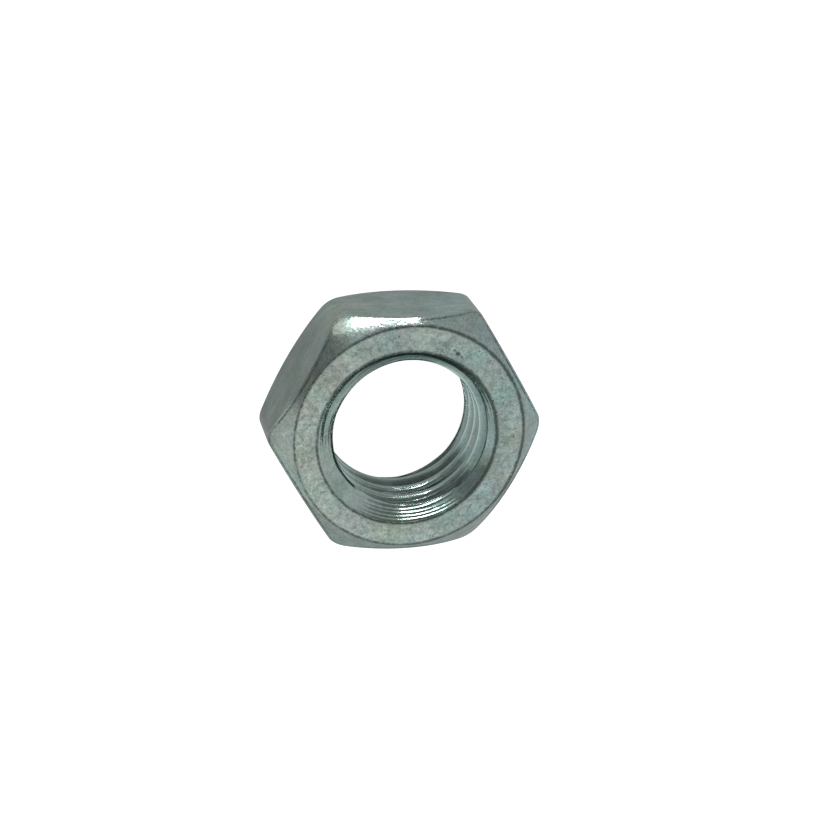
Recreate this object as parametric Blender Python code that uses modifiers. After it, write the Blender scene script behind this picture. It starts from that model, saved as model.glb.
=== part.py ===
"""Hex nut: thin zinc-plated steel nut, chamfered on both faces, M12 x 1.5 right-hand thread, 17 mm across flats."""

import math

import bmesh
import bpy
from mathutils import Matrix, Vector

# Driving dimensions, in metres. The nut stands on its lower bearing face, with its axis on Z.
ACROSS_FLATS = 0.0170
THICKNESS = 0.0070
CORNER_RADIUS = 0.0014          # rounding of the six upright edges
FACE_INSET = 0.00047            # from a side flat in to the bearing face, where the outer chamfer starts
CHAMFER_ANGLE = math.radians(43.5)   # outer chamfer, measured from the face

THREAD_MAJOR = 0.0120
THREAD_PITCH = 0.0015
THREAD_PHASE = math.radians(124.0)   # where a crest crosses mid-height, about Z from +X
COUNTERSINK_CLEARANCE = 0.00028      # from the thread's major radius out to the countersink's mouth
COUNTERSINK_ANGLE = math.radians(48.0)   # half angle of the countersink

# Basic 60 degree thread: the flats at root and crest are shares of the pitch, and set the bore.
FLANK_ANGLE = math.radians(30.0)
ROOT_FLAT = THREAD_PITCH / 8
CREST_FLAT = THREAD_PITCH / 4
THREAD_DEPTH = (THREAD_PITCH - ROOT_FLAT - CREST_FLAT) / (2 * math.tan(FLANK_ANGLE))
ROOT_RADIUS = THREAD_MAJOR / 2
CREST_RADIUS = ROOT_RADIUS - THREAD_DEPTH
MOUTH_RADIUS = ROOT_RADIUS + COUNTERSINK_CLEARANCE
BEARING_RADIUS = ACROSS_FLATS / 2 - FACE_INSET
CORNER_DISTANCE = ACROSS_FLATS / math.sqrt(3)   # from the axis to an unrounded corner

OVERRUN = 0.0005                # how far a cutter passes the face that it cuts
GROOVE_OVERRUN = 0.0001         # how far the groove's section passes the crests inward

CORNER_SEGMENTS = 6
TURNED_STEPS = 96
THREAD_STEPS = 48               # per turn, and round the bore

ZINC_COLOR = (0.43, 0.48, 0.46, 1.0)


def clear_scene():
    for old in list(bpy.data.objects):
        bpy.data.objects.remove(old, do_unlink=True)


def make_collection(name):
    collection = bpy.data.collections.new(name)
    bpy.context.scene.collection.children.link(collection)
    return collection


def make_zinc():
    zinc = bpy.data.materials.new("zinc_plate")
    zinc.use_nodes = True
    shader = zinc.node_tree.nodes["Principled BSDF"]
    shader.inputs["Base Color"].default_value = ZINC_COLOR
    shader.inputs["Metallic"].default_value = 1.0
    shader.inputs["Roughness"].default_value = 0.36
    return zinc


def add_object(name, mesh, collection):
    item = bpy.data.objects.new(name, mesh)
    collection.objects.link(item)
    return item


def hide_cutter(cutter):
    cutter.hide_render = True
    cutter.display_type = "WIRE"


def hex_prism_mesh():
    """Hexagonal bar, corners on +X and -X, with rounded upright edges."""
    bm = bmesh.new()
    bmesh.ops.create_cone(
        bm, cap_ends=True, segments=6, radius1=CORNER_DISTANCE, radius2=CORNER_DISTANCE, depth=THICKNESS,
        matrix=Matrix.Translation((0, 0, THICKNESS / 2)) @ Matrix.Rotation(math.radians(30), 4, "Z"))
    upright = [edge for edge in bm.edges
               if abs(edge.verts[0].co.z - edge.verts[1].co.z) > THICKNESS / 2]
    tangent_length = CORNER_RADIUS * math.tan(math.radians(30))
    bmesh.ops.bevel(bm, geom=upright, offset=tangent_length, offset_type="OFFSET",
                    segments=CORNER_SEGMENTS, profile=0.5, affect="EDGES")
    mesh = bpy.data.meshes.new("hex_nut")
    bm.to_mesh(mesh)
    bm.free()
    return mesh


def turned_cutter(name, profile, steps, collection):
    """Solid of revolution about Z from (radius, height) points, top to bottom."""
    mesh = bpy.data.meshes.new(name)
    points = [(radius, 0, height) for radius, height in profile]
    mesh.from_pydata(points, [(i, i + 1) for i in range(len(points) - 1)], [])
    cutter = add_object(name, mesh, collection)
    screw = cutter.modifiers.new("turn", "SCREW")
    screw.axis = "Z"
    screw.steps = steps
    screw.render_steps = steps
    screw.use_merge_vertices = True
    screw.merge_threshold = 0.000001
    hide_cutter(cutter)
    return cutter


def chamfer_envelope(collection):
    """Turned outline that the hexagonal bar is trimmed to: two faces and their outer chamfers."""
    outer_radius = CORNER_DISTANCE + OVERRUN
    drop = (outer_radius - BEARING_RADIUS) * math.tan(CHAMFER_ANGLE)
    profile = [(0, THICKNESS), (BEARING_RADIUS, THICKNESS), (outer_radius, THICKNESS - drop),
               (outer_radius, drop), (BEARING_RADIUS, 0), (0, 0)]
    return turned_cutter("chamfer_envelope", profile, TURNED_STEPS, collection)


def bore_cutter(collection):
    """Plain bore at the thread's crests, with a countersink at each face."""
    depth = (MOUTH_RADIUS - CREST_RADIUS) / math.tan(COUNTERSINK_ANGLE)
    end_radius = MOUTH_RADIUS + OVERRUN * math.tan(COUNTERSINK_ANGLE)
    profile = [(0, THICKNESS + OVERRUN), (end_radius, THICKNESS + OVERRUN),
               (CREST_RADIUS, THICKNESS - depth), (CREST_RADIUS, depth),
               (end_radius, -OVERRUN), (0, -OVERRUN)]
    return turned_cutter("bore", profile, THREAD_STEPS * 2, collection)


def groove_cutter(collection):
    """Right-hand helical groove between the crests, swept past both faces."""
    inner_radius = CREST_RADIUS - GROOVE_OVERRUN
    half_inner = ROOT_FLAT / 2 + (ROOT_RADIUS - inner_radius) * math.tan(FLANK_ANGLE)
    turns = math.ceil(THICKNESS / THREAD_PITCH) + 2
    crest_height = THICKNESS / 2 - THREAD_PITCH * THREAD_PHASE / math.tau
    first_crest = crest_height - THREAD_PITCH * math.ceil(crest_height / THREAD_PITCH + 0.5)
    groove_height = first_crest + THREAD_PITCH / 2
    section = [(inner_radius, half_inner), (ROOT_RADIUS, ROOT_FLAT / 2),
               (ROOT_RADIUS, -ROOT_FLAT / 2), (inner_radius, -half_inner)]

    bm = bmesh.new()
    verts = [bm.verts.new((radius, 0, groove_height + rise)) for radius, rise in section]
    start = bm.faces.new(verts)
    steps = turns * THREAD_STEPS
    bmesh.ops.spin(bm, geom=[start] + list(start.edges) + verts, cent=(0, 0, 0), axis=(0, 0, 1),
                   dvec=Vector((0, 0, THREAD_PITCH / THREAD_STEPS)), angle=math.tau * turns,
                   steps=steps, use_duplicate=False)
    open_edges = [edge for edge in bm.edges if edge.is_boundary]
    bmesh.ops.holes_fill(bm, edges=open_edges, sides=len(section))
    bmesh.ops.recalc_face_normals(bm, faces=bm.faces)
    mesh = bpy.data.meshes.new("thread_groove")
    bm.to_mesh(mesh)
    bm.free()
    cutter = add_object("thread_groove", mesh, collection)
    hide_cutter(cutter)
    return cutter


def add_boolean(target, cutter, operation):
    cut = target.modifiers.new(cutter.name, "BOOLEAN")
    cut.operation = operation
    cut.solver = "EXACT"
    cut.object = cutter


def build_nut():
    parts = make_collection("hex_nut_parts")
    cutters = make_collection("hex_nut_cutters")
    mesh = hex_prism_mesh()
    mesh.materials.append(make_zinc())
    nut = add_object("hex_nut", mesh, parts)
    add_boolean(nut, chamfer_envelope(cutters), "INTERSECT")
    add_boolean(nut, bore_cutter(cutters), "DIFFERENCE")
    add_boolean(nut, groove_cutter(cutters), "DIFFERENCE")
    mesh.shade_smooth()
    mesh.set_sharp_from_angle(angle=math.radians(25))


clear_scene()
build_nut()
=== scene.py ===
import math

import bmesh
import bpy
from mathutils import Matrix, Vector, noise


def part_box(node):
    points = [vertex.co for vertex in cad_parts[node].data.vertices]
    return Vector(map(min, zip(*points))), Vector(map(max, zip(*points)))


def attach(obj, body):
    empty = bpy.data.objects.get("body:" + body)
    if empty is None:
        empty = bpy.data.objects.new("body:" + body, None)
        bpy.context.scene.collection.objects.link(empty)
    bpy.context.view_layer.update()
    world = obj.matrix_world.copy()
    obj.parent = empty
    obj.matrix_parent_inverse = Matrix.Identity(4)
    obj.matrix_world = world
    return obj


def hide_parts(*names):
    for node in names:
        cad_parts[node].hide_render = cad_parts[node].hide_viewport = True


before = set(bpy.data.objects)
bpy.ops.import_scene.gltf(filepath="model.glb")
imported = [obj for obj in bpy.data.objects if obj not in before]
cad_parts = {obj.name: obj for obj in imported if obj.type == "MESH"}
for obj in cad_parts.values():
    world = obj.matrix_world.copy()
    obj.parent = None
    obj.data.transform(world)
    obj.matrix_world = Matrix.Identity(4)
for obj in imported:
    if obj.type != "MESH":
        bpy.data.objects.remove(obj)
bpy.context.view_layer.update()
nutLow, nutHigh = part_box("hex_nut")
mm = 0.001
print("frame loaded:", [round((high - low) / mm, 2) for low, high in zip(nutLow, nutHigh)], "mm")


mostOfSide = 0.45                      # how much of either side a rounding may take


def fillet(corner, before, after, radius, count):
    # rounds one corner of an outline, from the side before it to the side after it
    corner, before, after = Vector(corner), Vector(before), Vector(after)
    inward, onward = before - corner, after - corner
    most = mostOfSide * min(inward.length, onward.length)
    reach = min(radius / math.tan(inward.angle(onward) / 2), most)
    start, end = corner + inward.normalized() * reach, corner + onward.normalized() * reach
    shares = [i / count for i in range(count + 1)]
    return [(1 - t) ** 2 * start + 2 * t * (1 - t) * corner + t * t * end for t in shares]


def between(a, b, count, gather="none"):
    # points between two ends, evenly spaced or gathered near both ends or near the first
    shares = [(i + 1) / (count + 1) for i in range(count)]
    if gather == "both":
        shares = [0.5 - 0.5 * math.cos(math.pi * share) for share in shares]
    if gather == "first":
        shares = [share ** 2 for share in shares]
    return [a.lerp(b, share) for share in shares]


def softMax(a, b, lap):
    return (a + b + math.sqrt((a - b) ** 2 + lap ** 2)) / 2


nut = {
    "columns": 288,                    # round the nut
    "crowding": 0.7,                   # how far the columns gather at the six corners
    "evenRows": 5,                     # rows by the bore where they don't
    "blendRows": 10,                   # and rows over which they begin to
    # its corners from +X on, each rounded a little differently
    "cornerRadii": [radius * mm for radius in (1.15, 1.4, 1.4, 1.4, 0.95, 1.4)],
    "faceInset": 0.47 * mm,            # side flat in to the bearing face
    "chamferAngle": math.radians(40),  # where it leaves the bearing face
    "chamferBend": 120.0,              # it steepens outwards, per metre
    "stepDrop": 0.03 * mm,             # narrow step round the bearing face
    "stepWidth": 0.05 * mm,
    "stepRun": 0.1 * mm,               # how far past the step the chamfer's slope there is taken
    "edgeRun": 0.02 * mm,              # and how far before its edge, its slope there
    "edgeRadius": 0.12 * mm,           # chamfer to side flat
    "rimRadius": 0.03 * mm,            # outer edge of the bearing face
    "stepRadius": 0.025 * mm,          # foot of the step
    "mouthRounding": 0.09 * mm,        # inner edge of the bearing face, at the countersink
    "rimFade": 0.30 * mm,              # how far the dirt and painted shade spread from the face's two edges
    "edgeFade": 0.22 * mm,             # and from the groove beside a side flat's edge
    "edgeInset": 0.16 * mm,            # how far inside the chamfer that groove of dirt and painted shade lies
    "mouthRadius": 6.28 * mm,          # countersink at the face
    "mouthDrift": 0.20 * mm,           # how far the countersink's mouth sits off the axis
    "mouthDriftAngle": math.radians(26),
    "countersinkDepth": 0.98 * mm,
    "ragged": 0.035 * mm,              # unevenness of the countersink's mouth
    "raggedWaves": ((6, 0.6), (21, 0.4)),   # how fine its waves are, and their shares
    "joinDepth": 0.10 * mm,            # how far under the face the bore's mesh meets the outer shell
    "joinLap": 0.03 * mm,              # gap that is bridged there
    "flatGap": 0.01 * mm,              # faces this near the hexagon belong to its side flats
}
rows = {"rounding": 5, "rim": 3, "face": 16, "chamfer": 13, "flat": 9}   # in each stretch of the outline
nicks = [
    # knocks in the upper bearing face: place, how far they spread, how deep they go, and their dirt and
    # painted shade
    {"at": Vector((-3.12, -5.92)) * mm, "spread": 0.20 * mm, "depth": 0.08 * mm, "dirtAndShade": 1.0},
    {"at": Vector((-2.92, -6.16)) * mm, "spread": 0.16 * mm, "depth": 0.06 * mm, "dirtAndShade": 0.9},
    {"at": Vector((-3.38, -5.72)) * mm, "spread": 0.14 * mm, "depth": 0.05 * mm, "dirtAndShade": 0.6},
    {"at": Vector((-6.45, -2.10)) * mm, "spread": 0.16 * mm, "depth": 0.04 * mm, "dirtAndShade": 0.5},
    {"at": Vector((6.10, 4.90)) * mm, "spread": 0.18 * mm, "depth": 0.03 * mm, "dirtAndShade": 0.7},
    {"at": Vector((-1.70, 7.45)) * mm, "spread": 0.16 * mm, "depth": 0.03 * mm, "dirtAndShade": 0.7},
]
thread = {
    "major": 12.0 * mm,
    "pitch": 1.5 * mm,
    "depth": 0.812 * mm,               # root to crest
    "phase": math.radians(124),        # where a crest crosses mid-height
    "crestRadius": 0.07 * mm,
    "rootRadius": 0.10 * mm,
    "runOut": 0.025 * mm,              # how softly the thread fades into the countersink
    "wander": 0.008 * mm,              # unevenness along the turns
    "wanderRound": 3,                  # how fine it is round the bore
    "wanderUp": 2,                     # and along it, per mm
    "coneFade": 0.25 * mm,             # how softly the countersink's finish takes over from the thread's
    "coneLap": 0.05 * mm,              # how far past the thread's surface it is complete
    "flankRows": 4,
    "roundingRows": 3,
    "spareTurns": 3,                   # turns that are cut off again at the two faces
    "weld": 0.001 * mm,                # points closer than this become one
}
acrossFlats = nutHigh.y - nutLow.y
halfHeight = (nutHigh.z - nutLow.z) / 2
middle = nutLow.z + halfHeight
bearingRadius = acrossFlats / 2 - nut["faceInset"]
crestRadius = thread["major"] / 2 - thread["depth"]
coneEnd = halfHeight - nut["joinDepth"]


def hexRadius(angle):
    # from the axis to the rounded hexagon, whose corners are on +X and -X
    sixth = math.pi / 3
    cornerRadius = nut["cornerRadii"][round(angle / sixth) % 6]
    fromCorner = abs((angle + sixth / 2) % sixth - sixth / 2)
    straight = acrossFlats / 2 - cornerRadius
    centre = straight / math.cos(math.pi / 6)
    tangent = math.atan2(straight * math.tan(math.pi / 6), acrossFlats / 2)
    if math.pi / 6 - fromCorner < tangent:
        return acrossFlats / 2 / math.cos(math.pi / 6 - fromCorner)
    sagitta = math.sqrt(cornerRadius ** 2 - (centre * math.sin(fromCorner)) ** 2)
    return centre * math.cos(fromCorner) + sagitta


def mouthAt(angle):
    around = Vector((math.cos(angle), math.sin(angle), 0))
    ragged = sum(noise.noise(around * fineness) * share for fineness, share in nut["raggedWaves"])
    drift = nut["mouthDrift"] * math.cos(angle - nut["mouthDriftAngle"])
    return nut["mouthRadius"] + drift + ragged * nut["ragged"]


def countersinkAt(angle, height):
    # radius of the countersink's cone at one height above the middle
    share = (height - halfHeight + nut["countersinkDepth"]) / nut["countersinkDepth"]
    return crestRadius + (mouthAt(angle) - crestRadius) * share


def chamferAt(radius):
    run = radius - bearingRadius
    drop = nut["stepDrop"] + run * math.tan(nut["chamferAngle"]) + nut["chamferBend"] * run * run
    return Vector((radius, halfHeight - drop))


def outline(angle):
    # the upper half's outline at one angle, from the bore to mid-height: (radius, height above the middle)
    side = hexRadius(angle)
    coneTop = coneEnd + nut["joinLap"]
    mouth = Vector((mouthAt(angle), halfHeight))
    cone = Vector((countersinkAt(angle, coneTop), coneTop))
    rim = Vector((bearingRadius - nut["stepWidth"], halfHeight))
    step = Vector((bearingRadius, halfHeight - nut["stepDrop"]))
    afterStep = chamferAt(bearingRadius + nut["stepRun"])
    shoulder = chamferAt(side)
    slope = (chamferAt(side - nut["edgeRun"]) - shoulder).normalized()
    waist = Vector((side, 0))
    points = [cone] + fillet(mouth, cone, rim, nut["mouthRounding"], rows["rounding"])
    rimPoints = fillet(rim, mouth, step, nut["rimRadius"], rows["rim"])
    points += between(points[-1], rimPoints[0], rows["face"], "both") + rimPoints
    points += fillet(step, rim, afterStep, nut["stepRadius"], rows["rim"])
    approach = shoulder + slope * (side - bearingRadius)
    chamferEnd = fillet(shoulder, approach, waist, nut["edgeRadius"], rows["rounding"])
    start, end = points[-1].x, chamferEnd[0].x
    shares = [(i + 1) / (rows["chamfer"] + 1) for i in range(rows["chamfer"])]
    points += [chamferAt(start + (end - start) * share) for share in shares]
    return points + chamferEnd + between(chamferEnd[-1], waist, rows["flat"], "first")


def nearRim(angle, spot):
    # 1 on the inner and outer edges of a bearing face, down to 0 where the dirt and painted shade end
    mouth = Vector((mouthAt(angle), halfHeight))
    rim = Vector((bearingRadius, halfHeight))
    return max(0, 1 - min((spot - mouth).length, (spot - rim).length) / nut["rimFade"])


def nearEdge(angle, spot):
    # the same for the groove of dirt and painted shade beside a side flat's edge
    groove = chamferAt(hexRadius(angle) - nut["edgeInset"])
    return max(0, 1 - (spot - groove).length / nut["edgeFade"])


def spinLine(bm, points, turnHeight=0.0):
    # turns a line of points once round Z, level or rising like a thread
    line = [bm.verts.new(p) for p in points]
    for a, b in zip(line, line[1:]):
        bm.edges.new((a, b))
    columns = nut["columns"]
    bmesh.ops.spin(bm, geom=bm.verts[:] + bm.edges[:], cent=(0, 0, 0), axis=(0, 0, 1), angle=math.tau,
                   dvec=(0, 0, turnHeight / columns), steps=columns, use_merge=turnHeight == 0)


def outerShell():
    half = len(outline(0))
    bm = bmesh.new()
    spinLine(bm, [(1, 0, row) for row in range(2 * half + 1)])
    rimLayer = bm.verts.layers.float.new("rim")
    edgeLayer = bm.verts.layers.float.new("edge")
    outlines = {}
    for vert in bm.verts:
        row = round(vert.co.z)
        fromFace = min(row, 2 * half - row)
        turned = math.atan2(vert.co.y, vert.co.x)
        crowding = nut["crowding"] * min(1, max(0, fromFace - nut["evenRows"]) / nut["blendRows"])
        angle = turned - crowding * math.sin(6 * turned) / 6
        key = round(angle, 6)
        if key not in outlines:
            outlines[key] = outline(angle)
        spot = outlines[key][fromFace] if fromFace < half else Vector((hexRadius(angle), 0))
        height = spot.y if row < half else -spot.y
        vert.co = Vector((spot.x * math.cos(angle), spot.x * math.sin(angle), middle + height))
        # dirt and painted shade along the face's edges and in the knocks
        dirtyAndShaded = nearRim(angle, spot)
        if row < half:
            for nick in nicks:
                away = (vert.co.xy - nick["at"]).length / nick["spread"]
                knocked = math.exp(-away * away)
                vert.co.z -= nick["depth"] * knocked
                dirtyAndShaded = max(dirtyAndShaded, knocked * nick["dirtAndShade"])
        vert[rimLayer] = dirtyAndShaded
        vert[edgeLayer] = nearEdge(angle, spot)
    return bm


def threadProfile():
    # one pitch from crest to crest, as (radius, height): a quarter of it is crest and an eighth root
    pitch, root = thread["pitch"], thread["major"] / 2
    crest = Vector((crestRadius, 0))
    crestCorner = Vector((crestRadius, pitch / 8))
    rootCorner = Vector((root, pitch * 7 / 16))
    rootMiddle = Vector((root, pitch / 2))
    half = [crest] + fillet(crestCorner, crest, rootCorner, thread["crestRadius"], thread["roundingRows"])
    rootStart = fillet(rootCorner, crestCorner, rootMiddle, thread["rootRadius"], thread["roundingRows"])
    half += between(half[-1], rootStart[0], thread["flankRows"]) + rootStart[:-1] + [rootMiddle]
    return half + [Vector((p.x, pitch - p.y)) for p in reversed(half[1:-1])]


def threadedBore():
    pitch = thread["pitch"]
    profile = threadProfile()
    turns = math.ceil(2 * halfHeight / pitch) + thread["spareTurns"]
    firstCrest = middle - pitch * thread["phase"] / math.tau - pitch * math.ceil(turns / 2)
    line = [(p.x, 0, firstCrest + turn * pitch + p.y) for turn in range(turns) for p in profile]
    bm = bmesh.new()
    spinLine(bm, line, pitch)
    bmesh.ops.remove_doubles(bm, verts=bm.verts, dist=thread["weld"])
    crestLayer = bm.verts.layers.float.new("crest")
    coneLayer = bm.verts.layers.float.new("cone")
    rimLayer = bm.verts.layers.float.new("rim")
    for vert in bm.verts:
        angle = math.atan2(vert.co.y, vert.co.x)
        height = vert.co.z - middle
        radius = vert.co.xy.length
        around = Vector((math.cos(angle), math.sin(angle), 0))
        place = around * thread["wanderRound"] + Vector((0, 0, vert.co.z / mm * thread["wanderUp"]))
        sway = noise.noise(place) * thread["wander"]
        cone = countersinkAt(angle, abs(height))
        cut = softMax(radius + sway, cone, thread["runOut"])
        onCone = 1 + (cone - radius - thread["coneLap"]) / thread["coneFade"]
        vert[coneLayer] = min(1, max(0, onCone))
        vert[crestLayer] = max(0, 1 - (cut - crestRadius) / thread["depth"])
        vert[rimLayer] = nearRim(angle, Vector((cut, abs(height))))
        vert.co = around * cut + Vector((0, 0, vert.co.z))
    for side in (1, -1):
        bmesh.ops.bisect_plane(bm, geom=bm.verts[:] + bm.edges[:] + bm.faces[:], dist=1e-9,
                               plane_co=(0, 0, middle + side * coneEnd), plane_no=(0, 0, side),
                               clear_outer=True)
    for face in bm.faces:
        face.material_index = list(finishes).index("zincThread")
    return bm


def joinInto(bm, other):
    mesh = bpy.data.meshes.new("joining")
    other.to_mesh(mesh)
    other.free()
    bm.from_mesh(mesh)
    bpy.data.meshes.remove(mesh)


def buildNut():
    bm = outerShell()
    order = list(finishes)
    for face in bm.faces:
        centre = face.calc_center_median()
        fromFlat = abs(centre.xy.length - hexRadius(math.atan2(centre.y, centre.x)))
        if fromFlat < nut["flatGap"]:
            face.material_index = order.index("zincFlat")
        elif centre.xy.length > bearingRadius:
            face.material_index = order.index("zincChamfer")
        else:
            face.material_index = order.index("zincFace")
    joinInto(bm, threadedBore())
    for side in (1, -1):
        ends = [e for e in bm.edges if e.is_boundary and (e.verts[0].co.z - middle) * side > 0]
        for face in bmesh.ops.bridge_loops(bm, edges=ends)["faces"]:
            face.material_index = order.index("zincThread")
    bmesh.ops.recalc_face_normals(bm, faces=bm.faces)
    for face in bm.faces:
        face.smooth = True
    mesh = bpy.data.meshes.new("fine_nut")
    bm.to_mesh(mesh)
    print("nut mesh:", len(bm.verts), "points,", sum(len(f.verts) - 2 for f in bm.faces), "triangles,",
          sum(1 for e in bm.edges if not e.is_manifold), "open edges")
    bm.free()
    piece = bpy.data.objects.new("fine_nut", mesh)
    bpy.context.scene.collection.objects.link(piece)
    return piece


def addNode(tree, kind, inputs=None, **settings):
    # settings are the node's own choices, inputs its sockets by name or number: a value or a link
    made = tree.nodes.new("ShaderNode" + kind)
    for name, value in settings.items():
        setattr(made, name, value)
    for name, value in (inputs or {}).items():
        if isinstance(value, bpy.types.NodeSocket):
            tree.links.new(value, made.inputs[name])
        else:
            made.inputs[name].default_value = value
    return made


def maths(tree, operation, a, b=0.0):
    return addNode(tree, "Math", {0: a, 1: b}, operation=operation).outputs[0]


def vectorMaths(tree, operation, a, b=(0, 0, 0)):
    return addNode(tree, "VectorMath", {0: a, 1: b}, operation=operation).outputs


def blendColors(tree, kind, share, a, b):
    return addNode(tree, "Mix", {0: share, 6: a, 7: b}, data_type="RGBA", blend_type=kind).outputs[2]


def remap(tree, value, low, high, toLow=0.0, toHigh=1.0):
    ends = {"Value": value, "From Min": low, "From Max": high, "To Min": toLow, "To Max": toHigh}
    return addNode(tree, "MapRange", ends).outputs[0]


def noiseAt(tree, place, look):
    # noise whose marks have the size look gives, in mm
    settings = {"Vector": place, "Scale": 1 / look["size"], "Detail": look["detail"],
                "Roughness": look["roughness"], "Distortion": look["distortion"]}
    return addNode(tree, "TexNoise", settings).outputs["Fac"]


def newGroup(name, inputs, outputs):
    group = bpy.data.node_groups.new(name, "ShaderNodeTree")
    for label, kind in inputs:
        group.interface.new_socket(label, in_out="INPUT", socket_type="NodeSocket" + kind)
    for label, kind in outputs:
        group.interface.new_socket(label, in_out="OUTPUT", socket_type="NodeSocket" + kind)
    start = group.nodes.new("NodeGroupInput").outputs
    end = group.nodes.new("NodeGroupOutput").inputs
    return group, start, end


patterns = {
    # the plating's marks: their size in mm, the noise that makes them, how many times finer they are along
    # X, Y and Z, and the band of the noise that each spreads from 0 to 1
    "Speckle": {"size": 0.13, "detail": 3.0, "roughness": 0.65, "distortion": 0.0,
                "finer": (1, 1, 1), "band": (0.32, 0.68)},
    "Blotch": {"size": 0.3611, "detail": 4.0, "roughness": 0.7, "distortion": 0.6,
               "finer": (1, 1, 1), "band": (0.34, 0.66)},
    "Cloud": {"size": 1.818, "detail": 2.0, "roughness": 0.5, "distortion": 0.0,
              "finer": (1, 1, 1), "band": (0.35, 0.65)},
    "Pits": {"size": 0.2889, "detail": 2.0, "roughness": 0.6, "distortion": 1.5,
             "finer": (1, 1, 1), "band": (0.60, 0.70)},
    "Streaks": {"size": 1.0, "detail": 3.0, "roughness": 0.6, "distortion": 0.0,
                "finer": (0.5, 0.5, 4.0), "band": (0.35, 0.65)},
    "Bumps": {"size": 0.26, "detail": 1.5, "roughness": 0.5, "distortion": 0.0,
              "finer": (1, 1, 1), "band": (0.0, 1.0)},
}


def plateSpeckle():
    masks = [(name, "Float") for name in patterns]
    group, start, end = newGroup("plateSpeckle", [("Vector", "Vector")], masks)
    for name, look in patterns.items():
        place = vectorMaths(group, "MULTIPLY", start["Vector"], look["finer"])[0]
        group.links.new(remap(group, noiseAt(group, place, look), *look["band"]), end[name])
    return group


hueLook = {"size": 2.222, "detail": 3.0, "roughness": 0.5, "distortion": 0.0, "band": (0.48, 0.66)}
hueTints = [
    # lilac, straw and teal, each with its own shift of the noise in mm
    ((1.10, 0.97, 1.08, 1), 0.0),
    ((1.10, 1.04, 0.86, 1), 7.3),
    ((0.80, 1.04, 1.05, 1), 13.1),
]


def hueDrift():
    # faint patches of the passivated zinc's other colors
    inputs = [("Vector", "Vector"), ("Color", "Color"), ("Amount", "Float")]
    group, start, end = newGroup("hueDrift", inputs, [("Color", "Color")])
    color = start["Color"]
    for tint, shift in hueTints:
        moved = vectorMaths(group, "ADD", start["Vector"], (shift, shift, shift))[0]
        mask = remap(group, noiseAt(group, moved, hueLook), *hueLook["band"])
        share = maths(group, "MULTIPLY", mask, start["Amount"])
        color = blendColors(group, "MULTIPLY", share, color, tint)
    group.links.new(color, end["Color"])
    return group


ridgeLook = {
    "spacing": 0.37,                   # mm from one ring to the next
    "size": 1.0,                       # noise that they wander by
    "detail": 2.0,
    "roughness": 0.5,
    "distortion": 0.0,
    "wander": 0.8,                     # how far they stray, in rings
    "waveShare": 0.7,                  # what the rings themselves add to the height
    "noiseShare": 0.6,                 # and the noise
    "chatterAngle": math.radians(97),  # the cutter shook on this side
    "chatterBand": (0.55, 0.92),       # cosines of the angle from there between which the rings swell
    "quiet": 0.22,                     # their height on the other side
}


def turnedRidges():
    # fine rings that the cutter left round the axis
    group, start, end = newGroup("turnedRidges", [("Vector", "Vector")], [("Ridges", "Float")])
    parts = addNode(group, "SeparateXYZ", {0: start["Vector"]}).outputs
    level = addNode(group, "CombineXYZ", {0: parts[0], 1: parts[1]}).outputs[0]
    radius = vectorMaths(group, "LENGTH", level)["Value"]
    around = vectorMaths(group, "NORMALIZE", level)[0]
    sweep = addNode(group, "SeparateXYZ", {0: around}).outputs
    fromMiddle = maths(group, "ABSOLUTE", maths(group, "SUBTRACT", parts[2], middle / mm))
    depth = maths(group, "DIVIDE", maths(group, "ADD", radius, fromMiddle), ridgeLook["spacing"])
    place = addNode(group, "CombineXYZ", {0: sweep[0], 1: sweep[1], 2: depth}).outputs[0]
    uneven = noiseAt(group, place, ridgeLook)
    phase = maths(group, "ADD", depth, maths(group, "MULTIPLY", uneven, ridgeLook["wander"]))
    wave = maths(group, "SINE", maths(group, "MULTIPLY", phase, math.tau))
    chatter = (math.cos(ridgeLook["chatterAngle"]), math.sin(ridgeLook["chatterAngle"]), 0)
    side = vectorMaths(group, "DOT_PRODUCT", around, chatter)["Value"]
    swell = remap(group, side, *ridgeLook["chatterBand"], ridgeLook["quiet"], 1)
    ridge = maths(group, "ADD", remap(group, wave, -1, 1, 0, ridgeLook["waveShare"]),
                  maths(group, "MULTIPLY", uneven, ridgeLook["noiseShare"]))
    group.links.new(maths(group, "MULTIPLY", ridge, swell), end["Ridges"])
    return group


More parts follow.
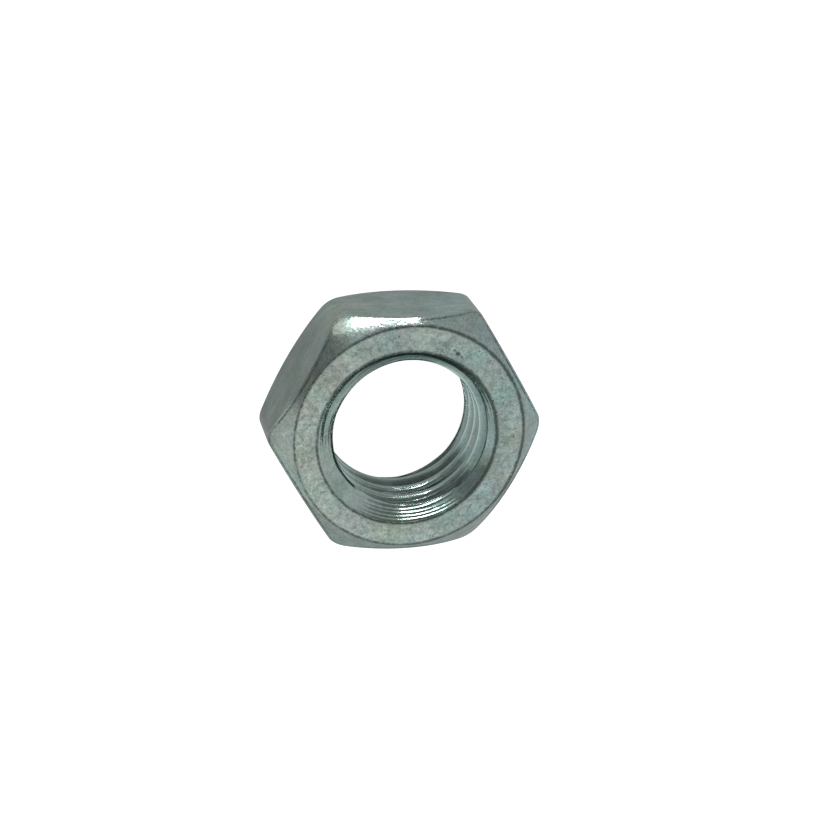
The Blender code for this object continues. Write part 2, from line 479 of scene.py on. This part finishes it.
finishes = {
    # the zinc's color and roughness; its drift in lightness (painted light and shade) from one place on X in
    # mm to another and the factors there; how deep each pattern shades it; how much dirt and painted shade
    # lie at its edges; how dark the painted shade in the thread's valleys is; how high its grain and turned
    # ridges stand, in mm
    "zincFace": {
        "color": (0.485, 0.56, 0.522, 1), "roughness": (0.26, 0.38), "drift": (-8.5, 8.5, 0.96, 1.04),
        "speckle": 0.25, "blotch": 0.38, "cloud": 0.14, "pits": 0.45, "streaks": 0.0,
        "dirtAndShade": 0.9, "valley": 0.0, "grain": 0.014, "ridges": 0.0,
    },
    "zincChamfer": {
        "color": (0.39, 0.465, 0.445, 1), "roughness": (0.10, 0.17), "drift": (-9.0, -6.5, 1.2, 1.0),
        "speckle": 0.22, "blotch": 0.20, "cloud": 0.12, "pits": 0.25, "streaks": 0.06,
        "dirtAndShade": 0.85, "valley": 0.0, "grain": 0.006, "ridges": 0.0,
    },
    "zincFlat": {
        "color": (0.385, 0.48, 0.455, 1), "roughness": (0.27, 0.37), "drift": (4.3, 6.5, 1.0, 0.69),
        "speckle": 0.14, "blotch": 0.18, "cloud": 0.16, "pits": 0.16, "streaks": 0.14,
        "dirtAndShade": 0.7, "valley": 0.0, "grain": 0.008, "ridges": 0.0,
    },
    "zincThread": {
        "color": (0.375, 0.462, 0.435, 1), "roughness": (0.12, 0.19), "drift": (-8.5, 8.5, 0.94, 1.06),
        "speckle": 0.14, "blotch": 0.20, "cloud": 0.15, "pits": 0.2, "streaks": 0.0,
        "dirtAndShade": 0.9, "valley": 0.38, "grain": 0.005, "ridges": 0.017,
    },
}
plating = {
    "hueAmount": 0.5,
    "blueTint": (0.945, 0.995, 1.02, 1),   # at -X
    "strawTint": (1.03, 1.0, 0.965, 1),    # at +X
    "threadRidges": 1.2,                   # how much higher the turned ridges are on the thread
    # painted shade in the thread's valleys, standing in for the dark reflections there
    "valleyColor": (0.05, 0.085, 0.085, 1),
    "valleyBand": (0.45, 0.9),             # up the thread, 0 at its root to 1 at its crest, where that fades
    # painted light on the thread's crests, standing in for the lit floor they mirror
    "crestColor": (0.58, 0.72, 0.69, 1),
    "crestBand": (0.8, 0.98),
    "crestShare": 0.8,
    "boreShadeTint": (0.31, 0.43, 0.44, 1),     # painted shade on the bore's -Y side, standing in for its darker reflections there
    "boreShadeBand": (-5.8, -4.2),              # Y in mm, from where it is full to where it ends
    # dirt and painted shade: a dark line along the face's edges, beside the side flats' edges and in the
    # knocks, standing in for dark reflections there
    "dirtAndShadeColor": (0.045, 0.062, 0.057, 1),
    "dirtAndShadeMetal": 0.6,
    "dirtAndShadeUneven": 0.55,                   # how far blotches break up its outline
    "rimBias": (0.18, -0.10),              # more of it on the face's edges at -X, less at +X
    "rimBand": (0.46, 0.92),               # where it begins and is full, on the face's edges
    "edgeBand": (0.55, 0.95),              # and beside the side flats' edges
}


def shadeBy(tree, mask, depth):
    # darker by depth where the mask is 0 and lighter by half of it where it is 1
    return remap(tree, mask, 0, 1, 1 - depth, 1 + depth / 2)


def zinc(name, groups):
    look = finishes[name]
    material = bpy.data.materials.new(name)
    material.use_nodes = True
    tree = material.node_tree
    shader = tree.nodes["Principled BSDF"]
    place = addNode(tree, "TexCoord").outputs["Object"]
    inMm = addNode(tree, "VectorMath", {0: place, "Scale": 1 / mm}, operation="SCALE").outputs[0]
    parts = addNode(tree, "SeparateXYZ", {0: inMm}).outputs
    across = remap(tree, parts[0], -acrossFlats / 2 / mm, acrossFlats / 2 / mm)
    marks = addNode(tree, "Group", {"Vector": inMm}, node_tree=groups["speckle"]).outputs
    hueInputs = {"Vector": inMm, "Color": look["color"], "Amount": plating["hueAmount"]}
    hue = addNode(tree, "Group", hueInputs, node_tree=groups["hue"]).outputs["Color"]
    ridges = addNode(tree, "Group", {"Vector": inMm}, node_tree=groups["ridges"]).outputs["Ridges"]
    rim, edge, crest, cone = [addNode(tree, "Attribute", attribute_name=attribute).outputs["Fac"]
                              for attribute in ("rim", "edge", "crest", "cone")]

    # painted light and shade: the lightness drifts across X, lighter or darker towards one side
    lightness = remap(tree, parts[0], *look["drift"])
    for mark in ("Speckle", "Blotch", "Cloud", "Streaks"):
        lightness = maths(tree, "MULTIPLY", lightness, shadeBy(tree, marks[mark], look[mark.lower()]))
    lightness = maths(tree, "MULTIPLY", lightness, remap(tree, marks["Pits"], 0, 1, 1, 1 - look["pits"]))
    grey = addNode(tree, "CombineColor", {0: lightness, 1: lightness, 2: lightness}).outputs[0]
    color = blendColors(tree, "MULTIPLY", 1.0, hue, grey)
    tint = blendColors(tree, "MIX", across, plating["blueTint"], plating["strawTint"])
    color = blendColors(tree, "MULTIPLY", 1.0, color, tint)

    # painted shade in the thread's valleys
    onThread = maths(tree, "SUBTRACT", 1.0, cone)
    deep = remap(tree, crest, *plating["valleyBand"], look["valley"], 0)
    inValley = maths(tree, "MULTIPLY", deep, onThread)
    color = blendColors(tree, "MIX", inValley, color, plating["valleyColor"])
    # painted light on the thread's crests
    paintedCrestLight = remap(tree, crest, *plating["crestBand"], 0, plating["crestShare"])
    onCrest = maths(tree, "MULTIPLY", paintedCrestLight, onThread)
    color = blendColors(tree, "MIX", onCrest, color, plating["crestColor"])
    # painted shade: the bore and countersink darker towards -Y
    if name == "zincThread":
        boreShade = remap(tree, parts[1], *plating["boreShadeBand"], 1, 0)
        color = blendColors(tree, "MULTIPLY", boreShade, color, plating["boreShadeTint"])

    # dirt and painted shade along the face's edges, beside the side flats' edges and in the knocks
    uneven = maths(tree, "MULTIPLY", maths(tree, "SUBTRACT", marks["Blotch"], 0.5), plating["dirtAndShadeUneven"])
    heavyRim = maths(tree, "ADD", rim, remap(tree, across, 0, 1, *plating["rimBias"]))
    onRim = remap(tree, maths(tree, "ADD", heavyRim, uneven), *plating["rimBand"], 0, look["dirtAndShade"])
    onEdge = remap(tree, maths(tree, "ADD", edge, uneven), *plating["edgeBand"], 0, look["dirtAndShade"])
    dirtAndShade = maths(tree, "MAXIMUM", onRim, onEdge)
    color = blendColors(tree, "MIX", dirtAndShade, color, plating["dirtAndShadeColor"])
    tree.links.new(color, shader.inputs["Base Color"])
    tree.links.new(remap(tree, dirtAndShade, 0, 1, 1, plating["dirtAndShadeMetal"]), shader.inputs["Metallic"])
    tree.links.new(remap(tree, marks["Speckle"], 0, 1, *look["roughness"]), shader.inputs["Roughness"])

    grain = maths(tree, "MULTIPLY", marks["Bumps"], look["grain"])
    ridgeHeight = remap(tree, cone, 0, 1, look["ridges"] * plating["threadRidges"], look["ridges"])
    turned = maths(tree, "MULTIPLY", ridges, ridgeHeight)
    height = maths(tree, "MULTIPLY", maths(tree, "ADD", grain, turned), mm)
    bump = addNode(tree, "Bump", {"Height": height, "Strength": 1.0, "Distance": 1.0})
    tree.links.new(bump.outputs["Normal"], shader.inputs["Normal"])
    return material


def finishNut(piece):
    groups = {"speckle": plateSpeckle(), "hue": hueDrift(), "ridges": turnedRidges()}
    for name in finishes:
        piece.data.materials.append(zinc(name, groups))
    print("finishes:", ", ".join(finishes))


floorLook = {"color": (0.48, 0.48, 0.48, 1), "roughness": 0.9, "specular": 0.1, "size": 3.0,
             "gap": 0.01 * mm,                        # under the nut
             "glowSeen": 0.95, "glowInMetal": 0.25}   # a lit sweep, dimmer where the metal mirrors it


def addFloor():
    under = nutLow.z - floorLook["gap"]
    bpy.ops.mesh.primitive_plane_add(size=floorLook["size"], location=(0, 0, under))
    floor = bpy.context.object
    floor.name = "floor"
    material = bpy.data.materials.new("paleFloor")
    material.use_nodes = True
    tree = material.node_tree
    shader = tree.nodes["Principled BSDF"]
    shader.inputs["Base Color"].default_value = floorLook["color"]
    shader.inputs["Roughness"].default_value = floorLook["roughness"]
    shader.inputs["Specular IOR Level"].default_value = floorLook["specular"]
    shader.inputs["Emission Color"].default_value = (1, 1, 1, 1)
    seen = addNode(tree, "LightPath").outputs["Is Camera Ray"]
    glow = remap(tree, seen, 0, 1, floorLook["glowInMetal"], floorLook["glowSeen"])
    tree.links.new(glow, shader.inputs["Emission Strength"])
    floor.data.materials.append(material)


camera = {"azimuth": 30.17, "elevation": 65.39, "roll": 149.06, "lens": 82.48,
          "right": 1.20 * mm, "up": 0.18 * mm, "distance": 133.57 * mm, "clip": (0.005, 10)}


def addCamera():
    a, e = math.radians(camera["azimuth"]), math.radians(camera["elevation"])
    back = Vector((math.sin(a) * math.cos(e), -math.cos(a) * math.cos(e), math.sin(e)))
    upright = (-back).to_track_quat("-Z", "Y").to_matrix()
    turn = upright @ Matrix.Rotation(math.radians(camera["roll"]), 3, "Z")
    data = bpy.data.cameras.new("camera")
    data.lens = camera["lens"]
    data.clip_start, data.clip_end = camera["clip"]
    item = bpy.data.objects.new("camera", data)
    bpy.context.scene.collection.objects.link(item)
    offset = turn @ Vector((camera["right"], camera["up"], camera["distance"]))
    item.matrix_world = Matrix.Translation(Vector((0, 0, middle)) + offset) @ turn.to_4x4()
    bpy.context.scene.camera = item
    return turn


lights = {
    # where each stands as the camera sees it: right, up and back; then its tilt, width, height and power
    "strip": {"towards": (0.03, 0.747, 0.664), "tilt": math.radians(7),
              "width": 0.42, "height": 0.05, "power": 1.5},
    "stripEnd": {"towards": (-0.395, 0.65, 0.65), "tilt": math.radians(7),
                 "width": 0.14, "height": 0.09, "power": 0.033},
}
lightDistance = 0.6
surroundings = {"color": (0.95, 1.0, 0.99, 1), "level": 0.72, "brighterTowards": (0, -0.2, 0)}
darkCards = [
    # where the middle of each stands, the degrees from it between which it fades out, and how dark it is
    {"towards": (-0.70, 0.22, 0.68), "inner": 14, "outer": 32, "level": 0.42},
    {"towards": (0.08, 0.15, 0.98), "inner": 14, "outer": 32, "level": 0.25},
    {"towards": (0.50, 0.25, 0.83), "inner": 14, "outer": 30, "level": 0.38},
    {"towards": (0.15, 0.46, 0.87), "inner": 8, "outer": 20, "level": 0.30},
    {"towards": (0.19, -0.42, 0.89), "inner": 9, "outer": 17, "level": 0.20},
    {"towards": (-0.32, -0.03, 0.945), "inner": 7, "outer": 17, "level": 0.25},
]


def addLight(name, turn, look):
    away = (turn @ Vector(look["towards"])).normalized()
    across = turn @ Vector((1, 0, 0))
    across = Matrix.Rotation(look["tilt"], 3, away) @ (across - away * across.dot(away)).normalized()
    data = bpy.data.lights.new(name, "AREA")
    data.shape = "RECTANGLE"
    data.size, data.size_y = look["width"], look["height"]
    data.energy = look["power"]
    item = bpy.data.objects.new(name, data)
    bpy.context.scene.collection.objects.link(item)
    facing = Matrix((across, away.cross(across), away)).transposed().to_4x4()
    item.matrix_world = Matrix.Translation(Vector((0, 0, middle)) + away * lightDistance) @ facing
    item.visible_camera = False


def addStudio(turn):
    world = bpy.data.worlds.new("studio")
    world.use_nodes = True
    tree = world.node_tree
    ray = addNode(tree, "TexCoord").outputs["Generated"]
    slope = turn @ Vector(surroundings["brighterTowards"])
    tilt = addNode(tree, "VectorMath", {0: ray, 1: slope}, operation="DOT_PRODUCT").outputs["Value"]
    level = maths(tree, "ADD", tilt, surroundings["level"])
    darkest = 1.0
    for card in darkCards:
        towards = (turn @ Vector(card["towards"])).normalized()
        near = addNode(tree, "VectorMath", {0: ray, 1: towards}, operation="DOT_PRODUCT").outputs["Value"]
        outer, inner = math.cos(math.radians(card["outer"])), math.cos(math.radians(card["inner"]))
        shade = remap(tree, near, outer, inner, 1, card["level"])
        darkest = maths(tree, "MINIMUM", darkest, shade)
    level = maths(tree, "MULTIPLY", level, darkest)
    back = tree.nodes["Background"]
    back.inputs["Color"].default_value = surroundings["color"]
    tree.links.new(level, back.inputs["Strength"])
    bpy.context.scene.world = world
    for name, look in lights.items():
        addLight(name, turn, look)
    bpy.context.scene.view_settings.view_transform = "Standard"
    print("studio:", len(lights), "lights")


piece = buildNut()
finishNut(piece)
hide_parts("hex_nut")
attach(piece, "root")
addFloor()
addStudio(addCamera())
